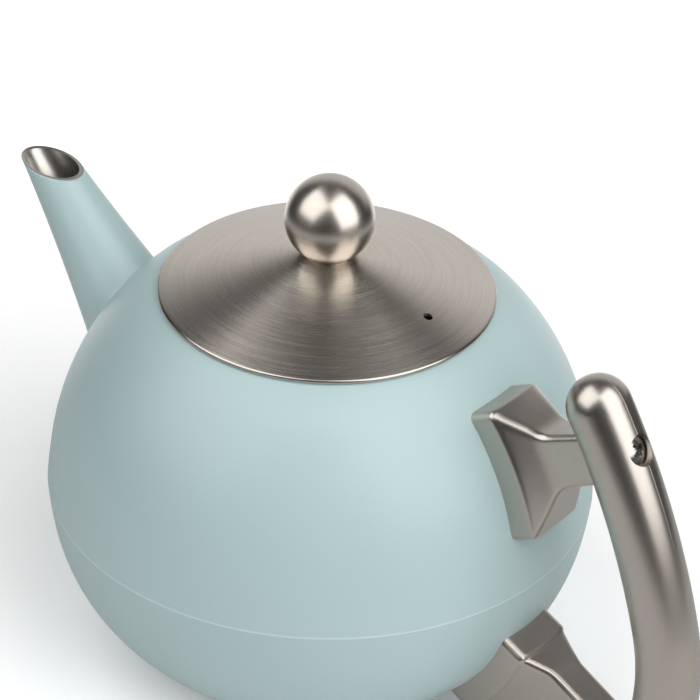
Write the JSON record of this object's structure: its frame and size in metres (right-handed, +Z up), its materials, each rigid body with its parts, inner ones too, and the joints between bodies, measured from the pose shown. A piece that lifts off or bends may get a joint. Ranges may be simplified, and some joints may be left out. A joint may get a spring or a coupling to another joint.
{
  "type": "double-walled teapot",
  "caption": "Round double-walled steel teapot with a straight tapered spout, loose conical lid with ball knob, lift-out basket and a bow handle.",
  "frame": {"origin": "centre of the flat base disc, on the vessel's axis, at the surface the pot stands on", "axes": "+Z up along the vessel's axis, +X towards the handle, -X towards the spout"},
  "size_m": [0.2276, 0.145, 0.1432],
  "materials": {
    "paint": "satin sea green powder coat",
    "steel": "fine satin stainless steel",
    "lid_steel": "circularly brushed stainless steel",
    "knob_steel": "turned and polished stainless steel",
    "satin_nickel": "satin nickel-plated cast zinc alloy",
    "screw_steel": "plain zinc-plated steel",
    "silicone": "translucent white silicone"
  },
  "bodies": {
    "pot": {"outer_shell_upper": "paint", "outer_shell_lower": "paint", "base_plate": "steel", "inner_shell_upper": "steel", "inner_shell_lower": "steel", "mouth_ring": "steel", "spout": "paint", "handle_bosses": "steel", "upper_bracket": "satin_nickel", "lower_bracket": "satin_nickel", "handle": "satin_nickel", "handle_screws": "screw_steel"},
    "infuser": {"infuser_rim": "steel", "infuser_wall": "steel", "infuser_bottom": "steel"},
    "seal": {"lid_seal": "silicone"},
    "lid": {"lid_cover": "lid_steel", "lid_skirt": "steel", "knob": "knob_steel", "knob_screw": "screw_steel", "knob_washer": "screw_steel"}
  },
  "joints": [
    {"name": "infuser_lift", "type": "slide", "parent": "pot", "child": "infuser", "axis": [0, 0, 1], "range_m": [0, 0.08]},
    {"name": "lid_lift", "type": "slide", "parent": "infuser", "child": "seal", "axis": [0, 0, 1], "range_m": [0, 0.04]},
    {"name": "lid_turn", "type": "hinge", "parent": "seal", "child": "lid", "pos_m": [0, 0, 0.105], "axis": [0, 0, 1], "continuous": true}
  ]
}
